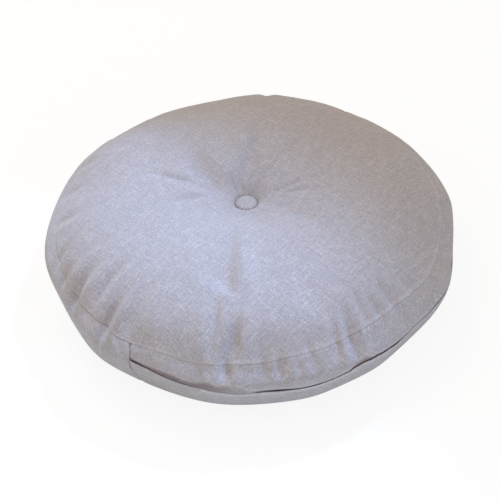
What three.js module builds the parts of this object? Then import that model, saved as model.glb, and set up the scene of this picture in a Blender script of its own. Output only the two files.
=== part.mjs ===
// A round boxed floor pouf in linen, tufted in the middle with a cloth-covered button.
// Millimetres, +Z up. The origin is the middle of the flat underside, and -Y is the front.
//
// The cloth is laid out by two coordinates:
//   reach    how far along a section of the cloth: 0 at the tuft, 1 at the top seam,
//            2 at the bottom seam and 3 where the underside meets the ground
//   azimuth  degrees round the pouf: 0 at the front, rising towards +X

import * as THREE from 'three';

const SEAM_RADIUS = 254; // both sewn seams
const BULGE_RADIUS = 274; // the side at its fullest
const TOP_SEAM_HEIGHT = 96;
const BULGE_HEIGHT = 75;
const BOTTOM_SEAM_HEIGHT = 17;
const CROWN_RADIUS = 122; // the ring on which the top is highest
const CROWN_HEIGHT = 135;
const TUFT_RADIUS = 16;
const TUFT_HEIGHT = 107; // where the cloth goes in under the button
const GROUND_RADIUS = 211; // the flat of the underside
const HUB_RADIUS = 60; // the triangle in the middle of the underside

const BUTTON_RADIUS = 15;
const BUTTON_EDGE = 3; // height of the button's widest ring over its back
const BUTTON_RISE = 8.5;

const STRIP = 2; // thickness of a side strip
const GAP = 0.3; // between neighbouring pieces
const RECESS = STRIP + GAP; // depth to which the cushion's side is set back behind the strips
const SEAM_DIP = 1; // the cloth turns in by this much at a seam
const TUCK = 0.8; // the upper strip's free edge turns in
const FOLD = 1; // the lower strip's folded edge stands out

const COLUMNS = 96; // sections round the pouf
const COLUMN_STEP = 360 / COLUMNS;
const PLACKET_START = -35.5; // azimuth of the upright seam at the front left
const PLACKET_COLUMNS = 48; // the slit strips run half way round
const SEAM_GAP_REACH = 0.005; // between a strip's edge and the cushion's rim
const END_GAP_DEGREES = 0.05; // half the space between the ends of two strips

const LINEN = new THREE.Color(0.5, 0.47, 0.5);
const LINEN_SIDE = new THREE.Color(0.47, 0.44, 0.47);
const LINEN_BUTTON = new THREE.Color(0.52, 0.49, 0.52);

// The section of the cloth, span by span, with the handles of each curve.
const spans = [
  { name: 'tuft', from: 0, to: 0.44, points: [[TUFT_RADIUS, TUFT_HEIGHT], [25, 119], [62, CROWN_HEIGHT],
    [CROWN_RADIUS, CROWN_HEIGHT]] },
  { name: 'crown', from: 0.44, to: 1, points: [[CROWN_RADIUS, CROWN_HEIGHT], [189, CROWN_HEIGHT],
    [221, 126], [SEAM_RADIUS, TOP_SEAM_HEIGHT]] },
  { name: 'upper side', from: 1, to: 1.32, points: [[SEAM_RADIUS, TOP_SEAM_HEIGHT], [263, 91],
    [BULGE_RADIUS, 84], [BULGE_RADIUS, BULGE_HEIGHT]] },
  { name: 'lower side', from: 1.32, to: 2, points: [[BULGE_RADIUS, BULGE_HEIGHT], [BULGE_RADIUS, 52],
    [262, 23], [SEAM_RADIUS, BOTTOM_SEAM_HEIGHT]] },
  { name: 'underside', from: 2, to: 3, points: [[SEAM_RADIUS, BOTTOM_SEAM_HEIGHT], [246, 8],
    [227, 0], [GROUND_RADIUS, 0]] },
];

// The folds that stay in the cloth. Each runs from one reach and azimuth to another. Its height is
// negative for a trough and positive for a ridge, and its width is half of what it spans, in mm.
const folds = [
  { name: 'front trough by the tuft', reach: [0.14, 0.68], azimuth: [-18, -7], height: -5.5, width: 14 },
  { name: 'front trough at the seam', reach: [0.7, 1.42], azimuth: [-4, -9], height: -6, width: 12 },
  { name: 'front ridge at the seam', reach: [0.66, 1.02], azimuth: [-15.5, -13], height: 3.5, width: 12 },
  { name: 'left trough by the placket', reach: [0.74, 1.6], azimuth: [-46, -46], height: -5.5, width: 11 },
  { name: 'left trough', reach: [0.78, 1.12], azimuth: [-64, -61], height: -4.5, width: 11 },
  { name: 'far left trough', reach: [0.82, 1.08], azimuth: [-91, -92], height: -3.5, width: 11 },
  { name: 'left crease by the tuft', reach: [0.1, 0.52], azimuth: [-113, -113], height: -5, width: 10 },
  { name: 'back left hollow', reach: [0.08, 0.34], azimuth: [-145, -145], height: -3, width: 14 },
  { name: 'back crease', reach: [0.08, 0.46], azimuth: [167, 166], height: -4, width: 11 },
  { name: 'right crease by the tuft', reach: [0.06, 0.38], azimuth: [112, 112], height: -3, width: 11 },
  { name: 'right trough', reach: [0.86, 1.5], azimuth: [28, 28], height: -4.5, width: 12 },
  { name: 'right ridge', reach: [0.84, 1.4], azimuth: [20, 20], height: 2, width: 12 },
  { name: 'right pucker', reach: [0.82, 1.04], azimuth: [39, 39], height: -3, width: 10 },
  { name: 'back right pucker', reach: [0.86, 1.1], azimuth: [118, 118], height: -3, width: 12 },
  { name: 'back pucker', reach: [0.86, 1.1], azimuth: [-158, -158], height: -3, width: 12 },
];

// The line of the slit: how far down the side it lies, and how wide it gapes in mm.
const slitCourse = [
  { azimuth: -36, reach: 1.27, gape: 1 },
  { azimuth: -28, reach: 1.28, gape: 3 },
  { azimuth: -14, reach: 1.34, gape: 3 },
  { azimuth: -3, reach: 1.41, gape: 2 },
  { azimuth: 14, reach: 1.44, gape: 1 },
  { azimuth: 27, reach: 1.41, gape: 1 },
  { azimuth: 42, reach: 1.42, gape: 1 },
  { azimuth: 70, reach: 1.32, gape: 1 },
  { azimuth: 110, reach: 1.34, gape: 1 },
  { azimuth: 145, reach: 1.3, gape: 1 },
];

const SIDE_LENGTH = 95; // of the side's section, seam to seam
const FACING_STRETCH = 0.04;
const TOP_REACHES = [0, 0.05, 0.12, 0.21, 0.32, 0.44, 0.56, 0.67, 0.77, 0.85, 0.92, 0.97, 1];
const UPPER_SHARES = [0, 0.3, 0.7, 1]; // rings between the top seam and the slit
const LOWER_SHARES = [0, 0.14, 0.4, 0.7, 1]; // rings between the slit and the bottom seam
const UNDER_REACHES = [2, 2.35, 3];

const curves = spans.map(({ points }) => {
  const handles = points.map(([radius, height]) => new THREE.Vector2(radius, height));
  return new THREE.CubicBezierCurve(...handles);
});

function smoothStep(from, to, value) {
  return THREE.MathUtils.smoothstep(value, from, to);
}

function sectionPoint(reach) {
  const index = spans.findIndex(({ to }) => reach <= to);
  const { from, to } = spans[index];
  return curves[index].getPointAt((reach - from) / (to - from));
}

// A point of the plain section and the direction that faces out of the cloth there. The
// direction is taken over a short stretch, so that it turns evenly across a seam.
function section(reach) {
  const before = sectionPoint(Math.max(0, reach - FACING_STRETCH));
  const after = sectionPoint(Math.min(3, reach + FACING_STRETCH));
  const along = after.sub(before).normalize();
  return { point: sectionPoint(reach), normal: new THREE.Vector2(-along.y, along.x) };
}

function turnBetween(a, b) {
  return THREE.MathUtils.euclideanModulo(a - b + 180, 360) - 180;
}

// How far the folds lift or sink the cloth.
function foldHeight(reach, azimuth, radius) {
  let height = 0;
  for (const fold of folds) {
    const [start, end] = fold.reach;
    const share = (reach - start) / (end - start);
    if (share <= 0 || share >= 1) continue;
    const line = THREE.MathUtils.lerp(fold.azimuth[0], fold.azimuth[1], share);
    const aside = THREE.MathUtils.degToRad(turnBetween(azimuth, line)) * radius;
    const profile = Math.exp(-((aside / fold.width) ** 2));
    height += fold.height * profile * smoothStep(0, 0.3, share) * smoothStep(0, 0.3, 1 - share);
  }
  return height;
}

function slitAt(azimuth) {
  const first = slitCourse[0];
  const last = slitCourse[slitCourse.length - 1];
  const place = THREE.MathUtils.euclideanModulo(azimuth - first.azimuth, 360) + first.azimuth;
  if (place >= last.azimuth) {
    return { reach: last.reach, gape: last.gape };
  }
  const next = slitCourse.findIndex((row) => row.azimuth > place);
  const [a, b] = [slitCourse[next - 1], slitCourse[next]];
  const share = smoothStep(a.azimuth, b.azimuth, place);
  return {
    reach: THREE.MathUtils.lerp(a.reach, b.reach, share),
    gape: THREE.MathUtils.lerp(a.gape, b.gape, share),
  };
}

// A point of the cloth at a column, raised by offset mm over the plain section with its folds.
function place(reach, azimuth, offset) {
  const { point, normal } = section(reach);
  const height = foldHeight(reach, azimuth, point.x) + offset;
  const radius = point.x + normal.x * height;
  const angle = THREE.MathUtils.degToRad(azimuth);
  return new THREE.Vector3(radius * Math.sin(angle), -radius * Math.cos(angle), point.y + normal.y * height);
}

// The reaches of the rings between the top seam and the slit, and between the slit and the bottom seam.
function upperReaches(azimuth) {
  const { reach, gape } = slitAt(azimuth);
  const top = 1 + SEAM_GAP_REACH;
  const bottom = reach - gape / 2 / SIDE_LENGTH;
  return UPPER_SHARES.map((share) => THREE.MathUtils.lerp(top, bottom, share));
}

function lowerReaches(azimuth) {
  const { reach, gape } = slitAt(azimuth);
  const top = reach + gape / 2 / SIDE_LENGTH;
  const bottom = 2 - SEAM_GAP_REACH;
  return LOWER_SHARES.map((share) => THREE.MathUtils.lerp(top, bottom, share));
}

function columnAzimuth(column) {
  return PLACKET_START + column * COLUMN_STEP;
}

// Collects points and triangles into one closed geometry.
class Shell {
  constructor() {
    this.positions = [];
    this.indices = [];
  }

  add(point) {
    this.positions.push(point.x, point.y, point.z);
    return this.positions.length / 3 - 1;
  }

  quad(a, b, c, d) {
    this.indices.push(a, b, c, a, c, d);
  }

  // Joins two rings of the same length, the first one outside or below.
  band(ringA, ringB) {
    ringA.forEach((corner, i) => {
      const j = (i + 1) % ringA.length;
      this.quad(corner, ringA[j], ringB[j], ringB[i]);
    });
  }

  fan(ring, hub) {
    ring.forEach((corner, i) => this.indices.push(corner, ring[(i + 1) % ring.length], hub));
  }

  geometry() {
    const geometry = new THREE.BufferGeometry();
    geometry.setAttribute('position', new THREE.Float32BufferAttribute(this.positions, 3));
    geometry.setIndex(this.indices);
    geometry.computeVertexNormals();
    return geometry;
  }
}

// The flat of the underside: the ring is joined to a small triangle in the middle.
function closeUnderside(shell, ring) {
  const hub = [0, 1, 2].map((i) => {
    const angle = (i / 3) * 2 * Math.PI;
    return shell.add(new THREE.Vector3(HUB_RADIUS * Math.sin(angle), -HUB_RADIUS * Math.cos(angle), 0));
  });
  const third = ring.length / 3;
  const shift = Math.round(-PLACKET_START / COLUMN_STEP + third / 2);
  ring.forEach((_, i) => {
    const a = ring[(i + shift) % ring.length];
    const b = ring[(i + 1 + shift) % ring.length];
    const near = (Math.floor(i / third) + 1) % 3;
    shell.indices.push(b, a, hub[near]);
    if ((i + 1) % third === 0) shell.indices.push(b, hub[near], hub[(near + 1) % 3]);
  });
  shell.indices.push(hub[2], hub[1], hub[0]);
}

function cushionGeometry() {
  const shell = new Shell();
  const azimuths = Array.from({ length: COLUMNS }, (_, column) => columnAzimuth(column));
  const rings = [];
  const addRing = (reachOf, offset) => {
    rings.push(azimuths.map((azimuth) => shell.add(place(reachOf(azimuth), azimuth, offset))));
  };
  for (const reach of TOP_REACHES) {
    addRing(() => reach, reach === 1 ? -SEAM_DIP : 0);
  }
  UPPER_SHARES.forEach((_, i) => addRing((azimuth) => (i === 0 ? 1 : upperReaches(azimuth)[i]), -RECESS));
  const last = LOWER_SHARES.length - 1;
  LOWER_SHARES.forEach((_, i) => addRing((azimuth) => (i === last ? 2 : lowerReaches(azimuth)[i]), -RECESS));
  for (const reach of UNDER_REACHES) {
    addRing(() => reach, reach === 2 ? -SEAM_DIP : 0);
  }
  for (let i = 1; i < rings.length; i += 1) {
    shell.band(rings[i], rings[i - 1]);
  }
  shell.fan(rings[0], shell.add(new THREE.Vector3(0, 0, TUFT_HEIGHT)));
  closeUnderside(shell, rings[rings.length - 1]);
  return shell.geometry();
}

// A strip of the side from one column to another. Its section is a loop of outer and inner points.
function stripGeometry(firstColumn, lastColumn, reachesAt, edgeOffsets) {
  const shell = new Shell();
  const loops = [];
  for (let column = firstColumn; column <= lastColumn; column += 1) {
    const endShift = (column === firstColumn ? END_GAP_DEGREES : 0) - (column === lastColumn ? END_GAP_DEGREES : 0);
    const azimuth = columnAzimuth(column) + endShift;
    const reaches = reachesAt(azimuth);
    const outer = reaches.map((reach, i) => {
      const edge = (i === 0 ? edgeOffsets.top : 0) + (i === reaches.length - 1 ? edgeOffsets.bottom : 0);
      return shell.add(place(reach, azimuth, edge - (endShift === 0 ? 0 : SEAM_DIP)));
    });
    const inner = reaches.map((reach) => shell.add(place(reach, azimuth, -STRIP)));
    loops.push([...outer, ...inner.reverse()]);
  }
  for (let i = 1; i < loops.length; i += 1) {
    shell.band(loops[i - 1], loops[i]);
  }
  capLoop(shell, loops[0], false);
  capLoop(shell, loops[loops.length - 1], true);
  return shell.geometry();
}

// Closes the end of a strip: each outer point faces an inner one.
function capLoop(shell, loop, isLast) {
  const half = loop.length / 2;
  for (let i = 0; i < half - 1; i += 1) {
    const corners = [loop[i], loop[i + 1], loop[loop.length - 2 - i], loop[loop.length - 1 - i]];
    shell.quad(...(isLast ? corners : corners.reverse()));
  }
}

function buttonGeometry() {
  const rim = BUTTON_RADIUS - 1.5;
  const profile = [new THREE.Vector2(0, 0), new THREE.Vector2(rim, 0)];
  const domeSteps = 4;
  for (let i = 0; i < domeSteps; i += 1) {
    const angle = (i / domeSteps) * (Math.PI / 2);
    const height = BUTTON_EDGE + (BUTTON_RISE - BUTTON_EDGE) * Math.sin(angle);
    profile.push(new THREE.Vector2(BUTTON_RADIUS * Math.cos(angle), height));
  }
  profile.push(new THREE.Vector2(0, BUTTON_RISE));
  return new THREE.LatheGeometry(profile, 32).rotateX(Math.PI / 2);
}

function linen(color) {
  return new THREE.MeshStandardMaterial({ color, roughness: 0.95, metalness: 0 });
}

function named(name, geometry, color) {
  const mesh = new THREE.Mesh(geometry, linen(color));
  mesh.name = name;
  return mesh;
}

const pouf = new THREE.Group();
pouf.add(named('cushion', cushionGeometry(), LINEN));

const plainReaches = (azimuth) => [...upperReaches(azimuth), ...lowerReaches(azimuth)];
const sewn = { top: -SEAM_DIP, bottom: -SEAM_DIP };
const bandPlain = stripGeometry(PLACKET_COLUMNS, COLUMNS, plainReaches, sewn);
pouf.add(named('band_plain', bandPlain, LINEN_SIDE));

const upper = stripGeometry(0, PLACKET_COLUMNS, upperReaches, { top: -SEAM_DIP, bottom: -TUCK });
pouf.add(named('placket_upper', upper, LINEN_SIDE));

const lower = stripGeometry(0, PLACKET_COLUMNS, lowerReaches, { top: FOLD, bottom: -SEAM_DIP });
pouf.add(named('placket_lower', lower, LINEN_SIDE));

const button = named('button', buttonGeometry(), LINEN_BUTTON);
button.position.z = TUFT_HEIGHT + GAP;
pouf.add(button);

// The folds make the outline a little uneven, so the origin is set under the middle of its box.
const middle = new THREE.Box3().setFromObject(pouf).getCenter(new THREE.Vector3());
pouf.position.set(-middle.x, -middle.y, 0);

export default pouf;
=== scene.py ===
"""A round boxed floor pouf in linen, tufted with a covered button: its cloth, and a plain stage."""

import math

import bpy
import numpy as np
from mathutils import Matrix, Vector


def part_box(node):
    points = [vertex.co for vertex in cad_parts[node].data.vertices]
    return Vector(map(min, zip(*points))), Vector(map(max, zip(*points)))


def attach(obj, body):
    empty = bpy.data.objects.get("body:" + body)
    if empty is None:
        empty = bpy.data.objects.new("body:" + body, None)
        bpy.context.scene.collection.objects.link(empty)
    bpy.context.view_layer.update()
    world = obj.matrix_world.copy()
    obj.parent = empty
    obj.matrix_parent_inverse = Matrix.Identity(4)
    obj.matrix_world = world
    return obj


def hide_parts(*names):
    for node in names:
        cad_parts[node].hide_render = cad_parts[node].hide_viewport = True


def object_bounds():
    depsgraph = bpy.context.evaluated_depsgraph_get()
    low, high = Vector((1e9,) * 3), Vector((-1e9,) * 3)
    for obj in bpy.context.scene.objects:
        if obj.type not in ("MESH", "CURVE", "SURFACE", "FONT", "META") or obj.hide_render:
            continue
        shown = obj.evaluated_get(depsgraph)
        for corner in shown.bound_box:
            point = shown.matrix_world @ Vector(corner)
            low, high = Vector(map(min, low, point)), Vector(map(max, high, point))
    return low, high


bl_info = {
    "name": "Linen Pouf",
    "version": (1, 0, 0),
    "blender": (4, 5, 0),
    "location": "3D View > Sidebar > Linen Pouf",
    "description": "Builds the cloth, the side strips, the covered button and the stage of a linen pouf",
    "category": "Add Mesh",
}

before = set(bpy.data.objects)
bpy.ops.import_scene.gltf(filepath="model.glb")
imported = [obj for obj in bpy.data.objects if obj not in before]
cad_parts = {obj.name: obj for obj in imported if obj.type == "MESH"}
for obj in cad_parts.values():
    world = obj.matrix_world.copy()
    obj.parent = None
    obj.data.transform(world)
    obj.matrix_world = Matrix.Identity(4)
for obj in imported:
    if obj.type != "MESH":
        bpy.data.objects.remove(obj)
CAD_LOW, CAD_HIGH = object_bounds()
BODY = "root"
MM = 0.001

# The axis of the pouf, its height and its width come from the parts in model.glb.
BUTTON_LOW, BUTTON_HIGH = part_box("button")
AXIS_X = (BUTTON_LOW.x + BUTTON_HIGH.x) / 2
AXIS_Y = (BUTTON_LOW.y + BUTTON_HIGH.y) / 2
BULGE_RADIUS = (CAD_HIGH.x - CAD_LOW.x) / 2
SEAM_RADIUS = BULGE_RADIUS - 20 * MM
CROWN_RADIUS = 122 * MM
CROWN_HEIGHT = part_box("cushion")[1].z
TOP_SEAM_HEIGHT = 96 * MM
BULGE_HEIGHT = 75 * MM
BOTTOM_SEAM_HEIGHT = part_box("placket_lower")[0].z - 1 * MM
GROUND_RADIUS = 211 * MM
BUTTON_RADIUS = 0.95 * (BUTTON_HIGH.x - BUTTON_LOW.x) / 2
TUFT_RADIUS = BUTTON_RADIUS + 0.6 * MM
TUFT_HEIGHT = BUTTON_LOW.z - 0.3 * MM
# The button and the cloth round it lean a little to the left.
TUFT_LEAN = Vector((-1.5 * MM, 0.3 * MM))

# Azimuths are in degrees round the pouf: 0 at the front, rising towards +X.
PLACKET_START = -35.5
PLACKET_END = 144.5

# The section of the cloth, span by span: the first and last reach, and the curve's four handles.
# Reach is 0 at the tuft, 1 at the top seam, 2 at the bottom seam and 3 where the cloth meets the ground.
TUFT, CROWN = (TUFT_RADIUS, TUFT_HEIGHT), (CROWN_RADIUS, CROWN_HEIGHT)
TOP_SEAM, BULGE = (SEAM_RADIUS, TOP_SEAM_HEIGHT), (BULGE_RADIUS, BULGE_HEIGHT)
BOTTOM_SEAM, GROUND = (SEAM_RADIUS, BOTTOM_SEAM_HEIGHT), (GROUND_RADIUS, 0.0)
SPANS = (
    (0.0, 0.44, (TUFT, (25 * MM, 119 * MM), (62 * MM, CROWN_HEIGHT), CROWN)),
    (0.44, 1.0, (CROWN, (189 * MM, CROWN_HEIGHT), (221 * MM, 126 * MM), TOP_SEAM)),
    (1.0, 1.32, (TOP_SEAM, (262 * MM, 88.6 * MM), (BULGE_RADIUS, 83 * MM), BULGE)),
    (1.32, 2.0, (BULGE, (BULGE_RADIUS, 52 * MM), (262 * MM, 23 * MM), BOTTOM_SEAM)),
    (2.0, 3.0, (BOTTOM_SEAM, (246 * MM, 8 * MM), (227 * MM, 0.0), GROUND)),
)

# The folds that stay in the cloth. Each goes from one reach and azimuth to another:
# (reach at start, at end, azimuth at start, at end, height, width, peak, sharp, skew, bow).
# Height is negative for a trough and positive for a ridge, width is half of what it spans, both in mm.
# Peak is how far along it the fold is deepest, and sharp runs from 0, rounded, to 1, creased. Skew widens
# its left flank (-1) or its right (1), and bow bends its line, in degrees.
# A row that stops early goes on with these values for peak, sharp, skew and bow.
FOLD_REST = (0.5, 0, 0, 0)
FOLDS = (
    # front, from the tuft to the slit
    (0.08, 0.5, -19, -12.6, -1.6, 6.5, 0.6, 0.2, -0.3, 1.6),
    (0.16, 0.665, -21, -12.2, -6, 15.5, 0.8, 0.15, -0.8, 1.6),
    (0.44, 0.68, -12.6, -9, -2.8, 9, 0.75, 0.2, -0.6), (0.26, 0.68, -5, -2.6, 2.4, 9, 0.6, 0, 0.5),
    (0.36, 0.66, -27, -19, -1.4, 10, 0.5, 0.2), (0.58, 1, -15, -11.8, -4.2, 7, 0.55, 0.5, -0.3, 0.4),
    (0.8, 1.02, -13.6, -12.6, -2.4, 4, 0.7, 0.7, -0.4),
    (0.72, 1.5, -4.6, -9.7, -8.5, 8.5, 0.5, 0.5, -0.2, -1.4),
    (0.74, 1.1, -5.2, -6.8, -3.8, 6, 0.6, 0.5, -0.2), (0.98, 1.38, -8.2, -8.8, -3.2, 5.4, 0.45, 0.5),
    (0.72, 1.44, -1.8, -3, 1.2, 8), (1, 1.5, -15, -15, -1.6, 9, 0.4), (1, 1.5, -31, -30, -2.4, 16, 0.55),
    (0.78, 1.72, 1, 1, -5, 26, 0.6),
    # front right
    (0.54, 0.9, 21, 20.4, -1.8, 14), (0.78, 1.52, 28, 24.6, -6.8, 7.2, 0.55, 0.5, 0.3, -0.3),
    (0.76, 1.52, 25.2, 18.2, -3.6, 6.4, 0.5, 0.3, -0.2), (0.88, 1.48, 14.2, 13.6, -1.6, 5, 0.5, 0.4),
    (0.92, 1.48, 5.4, 5.4, -2.8, 5.4, 0.5, 0.5, 0.3), (0.94, 1.44, 10.2, 10.6, -1, 4, 0.5, 0.4),
    (0.9, 1.44, 1, 1.2, -1.3, 4.5, 0.5, 0.4), (0.8, 1.2, 36.6, 36.4, -3.4, 5.2, 0.45, 0.4),
    (0.76, 1.04, 34.2, 31.8, -3, 5, 0.5, 0.4), (0.76, 1.4, 43, 42, -3.8, 6, 0.45, 0.4),
    (0.8, 1.34, 51.4, 50.4, -2.8, 6, 0.5, 0.4),
    # left, round the end of the slit
    (0.6, 1.06, -39.8, -38, -4.2, 6.5, 0.75, 0.3), (0.72, 1.5, -46.8, -45, -6.5, 6, 0.62, 0.4),
    (0.72, 1.3, -44, -41, 3.4, 5.5, 0.6, 0.2), (0.98, 1.4, -43.6, -36.2, 2.2, 4.2, 0.5, 0.4),
    (1, 1.6, -43.4, -42.8, 1.8, 4.2, 0.4, 0.4), (0.68, 1.02, -33.4, -31.4, 0.6, 6, 0.6, 0.2),
    (0.66, 1, -29.6, -28.6, -1.3, 6, 0.5, 0.3), (0.62, 1.14, -56.6, -51.8, -5, 6.5, 0.55, 0.3),
    (0.7, 1.2, -52.6, -49.2, 1.4, 5.5, 0.6, 0.2), (0.66, 1.24, -60.6, -56.6, 1.6, 5.5, 0.55, 0.2),
    (0.74, 1.5, -64.6, -58.6, -6.5, 7, 0.6, 0.4, -0.2), (0.7, 1.36, -69, -64, 1.8, 6, 0.5, 0.2),
    (0.9, 1.4, -71.4, -66.6, -2.4, 5, 0.45, 0.4), (0.88, 1.4, -79, -73, -2.4, 6, 0.5, 0.4),
    (0.74, 1.26, -90, -90.4, -2.4, 8, 0.5, 0.3), (0.82, 1.3, -104, -104, -2.2, 8, 0.5, 0.3),
    # round the tuft: left, behind it and right
    (0.03, 0.62, -109.4, -109.8, -3, 6.5, 0.55, 0.3, 0.3, -1.4),
    (0.05, 0.5, -98.5, -81.5, -1.8, 5, 0.5, 0.4, 0, 3), (0.02, 0.6, -115, -150, -9, 17, 0.3, 0.1, 0.15, -4),
    (0, 0.18, -152, -158, -1.6, 2.6, 0.2, 0.4), (0, 0.24, -169, -175, -2, 3.6, 0.2, 0.4, 0, 3),
    (0, 0.19, 174, 169, -1.4, 2.4, 0.2, 0.4), (0, 0.22, 157, 151, -1.8, 3, 0.2, 0.4, 0, -4),
    (0, 0.15, 139, 137, -1.2, 2.4, 0.2, 0.4), (0, 0.42, -172, -168, -4.5, 22, 0.05),
    (0.08, 0.64, 178, 176, 3.6, 60), (0.05, 0.62, 178, 171, -6.2, 11, 0.4, 0.1, -0.5, -3),
    (0.22, 0.6, -171, -173, -1.2, 5, 0.5, 0.3), (0.04, 0.56, 141, 141, -1.6, 6, 0.4, 0.3),
    (0.01, 0.46, 101, 103, -2.8, 4.2, 0.35, 0.6, 0.2, 1), (0.05, 0.52, 97, 88, -2.6, 4.6, 0.4, 0.5, 0, -2),
    (0.02, 0.62, 70, 42, -2.8, 12, 0.4, 0.1, 0.3, -3),
    # right, round the back and far left, over the top seam
    (0.8, 1.34, 63, 62, -1.8, 8, 0.5, 0.4), (0.82, 1.38, 76, 75, -1.2, 6, 0.5, 0.3),
    (0.82, 1.34, 88, 88, -2.2, 7, 0.5, 0.5), (0.78, 1.3, 103, 105, -2.6, 6, 0.5, 0.5),
    (0.8, 1.32, 121, 121, -3.2, 7, 0.5, 0.6, 0.3), (0.82, 1.36, 139, 140, -2.2, 6, 0.5, 0.5),
    (0.8, 1.28, 155, 154, -1.8, 6, 0.5, 0.4), (0.8, 1.34, 171, 170, -2.8, 7, 0.5, 0.5),
    (0.8, 1.28, -166, -166, -2.2, 6, 0.5, 0.5), (0.8, 1.34, -151, -150, -3.2, 7, 0.5, 0.6, -0.3),
    (0.82, 1.36, -133, -133, -2, 7, 0.5, 0.5), (0.8, 1.36, -117, -116, -2.6, 7, 0.5, 0.5),
    # broad swells and hollows of the filling
    (0.45, 1.7, -164, -164, -6.4, 55, 0.45), (0.5, 1.9, -123, -123, 7, 45, 0.45),
    (0.9, 2, -64, -63, -6.4, 48), (1.1, 2.15, -29, -29, -6.5, 40, 0.6), (1.3, 2.15, 14, 14, 2.6, 30, 0.6),
    (1.2, 2.15, 32, 32, 2.4, 34, 0.55), (0.95, 2.05, 57, 57, 5.6, 45, 0.4),
    (0.9, 1.8, 75, 75, -2.4, 30, 0.4), (0.9, 1.6, 92, 92, 2.4, 24, 0.4),
    (0.4, 1.6, 137, 137, -6.6, 70, 0.45),
)

# The top seam: azimuth, how far it wanders from its plain circle, in reach, and its depth in mm.
SEAM_COURSE = (
    (-180, 0, 0.9), (-150, 0.015, 0.9), (-115, 0.01, 0.8), (-85, 0.03, 0.7), (-60, 0.045, 1),
    (-54, 0.042, 1), (-46, 0.024, 1), (-43, 0.04, 0.8), (-40, 0.058, 0.9), (-36, 0.04, 0.7),
    (-33, 0.022, 0), (-29, 0.01, 0), (-24, 0.01, 0.25), (-20, 0.03, 0.45), (-16, 0.036, 0.45),
    (-12, 0.028, 0.4), (-7, 0.006, 0.35), (0, 0.003, 0.35), (8, -0.01, 0.4), (16, -0.01, 0.4),
    (29, -0.02, 0.6), (38, -0.02, 0.5), (44, -0.018, 0.5), (50, -0.006, 0.4), (58, 0.014, 0.1),
    (70, 0.02, 0.05), (95, 0.01, 0.2), (140, 0.02, 0.9), (180, 0, 0.9),
)

# The slit down the side: azimuth, the reach of the lower strip's folded edge, how far above it the upper
# strip begins to roll in, how deep it has sunk there, both in mm, and how strongly the roll is shaded.
SLIT = (
    (-36, 1.25, 4.5, 3.2, 1), (-33.5, 1.264, 4.6, 3.2, 1), (-31, 1.288, 5.6, 2.4, 0.95),
    (-26, 1.306, 7, 1.9, 0.9), (-22, 1.334, 8.4, 1.8, 0.9), (-19, 1.35, 7, 1.6, 0.85),
    (-16.5, 1.356, 6.8, 1.3, 0.8), (-13, 1.372, 10.5, 0.9, 0.75), (-10, 1.397, 8.5, 0.8, 0.62),
    (-7.5, 1.422, 12, 0.8, 0.4), (-5, 1.444, 12, 0.7, 0.4), (-2.5, 1.46, 4.4, 0.8, 0.35),
    (0, 1.466, 4.4, 2, 0.75), (3.8, 1.474, 5.4, 2.6, 0.8), (7.2, 1.466, 3.8, 3.2, 0.85),
    (10, 1.47, 3.4, 2.6, 0.8), (14, 1.478, 3.6, 2.6, 0.8), (18.5, 1.465, 3, 2, 0.5),
    (22, 1.424, 4, 2, 0.45), (24.8, 1.394, 7, 2.4, 0.5), (27.5, 1.358, 7, 2.6, 0.6),
    (30, 1.376, 5.4, 2.6, 0.5), (35, 1.415, 5, 2.6, 0.35), (38.5, 1.455, 6.4, 2.4, 0.3),
    (41.5, 1.425, 3.6, 1.8, 0.15), (44, 1.385, 3, 1.8, 0.1), (48, 1.36, 3, 1.6, 0.1),
    (54, 1.33, 3, 1.6, 0.1), (60, 1.345, 3.5, 2, 0.2), (64.5, 1.35, 4, 3, 0.4), (67.5, 1.34, 6.5, 7.5, 1),
    (73, 1.33, 3, 2, 0.2), (110, 1.35, 3, 1.8, 0.2), (145, 1.31, 3, 1.9, 0.2),
)

# The upright seam at the front left: reach, and degrees from the start of the placket.
UPRIGHT_COURSE = (
    (1, -0.5), (1.04, -0.3), (1.15, 0.5), (1.24, 1), (1.31, 1.1), (1.38, 0.95), (1.47, 0.78), (1.62, 0.8),
    (2, 0.8),
)

# ---------------------------------------------------------------- the shape of the cloth


# How much reach on either side tells where the cloth faces, and over how much the top seam's wandering fades.
FACING_STRETCH = 0.02
WANDER_FADE = 0.16
# How many puckers cross each seam, and how many waves make up the filling's unevenness.
PUCKERS = 84
LUMP_WAVES = 14


def cubic(handles, share):
    """Points of a cubic curve at the given shares of its parameter."""
    a, b, c, d = (np.array(handle) for handle in handles)
    t = share[:, None]
    return (1 - t) ** 3 * a + 3 * (1 - t) ** 2 * t * b + 3 * (1 - t) * t * t * c + t**3 * d


def section_tables(steps=400):
    """Reach, radius, height and length along the cloth, at close steps of the plain section."""
    columns = []
    travelled = TUFT_RADIUS
    for first, last, handles in SPANS:
        points = cubic(handles, np.linspace(0, 1, steps))
        pace = np.hypot(*np.diff(points, axis=0).T)
        along = np.concatenate([[0], np.cumsum(pace)])
        columns.append((first + (last - first) * along / along[-1], *points.T, travelled + along))
        travelled += along[-1]
    return tuple(np.concatenate(column) for column in zip(*columns))


REACHES, RADII, HEIGHTS, LENGTHS = section_tables()


def radius_at(reach):
    return np.interp(reach, REACHES, RADII)


def height_at(reach):
    return np.interp(reach, REACHES, HEIGHTS)


def length_at(reach):
    """Length of the cloth from the middle of the top, in metres."""
    return np.interp(reach, REACHES, LENGTHS)


TOP_LENGTH = float(length_at(1.0))
SIDE_LENGTH = float(length_at(2.0)) - TOP_LENGTH
UNDER_LENGTH = float(length_at(3.0) - length_at(2.0)) + GROUND_RADIUS


def smooth(low, high, value):
    t = np.clip((value - low) / (high - low), 0, 1)
    return t * t * (3 - 2 * t)


def turn_between(a, b):
    return (a - b + 180) % 360 - 180


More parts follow.
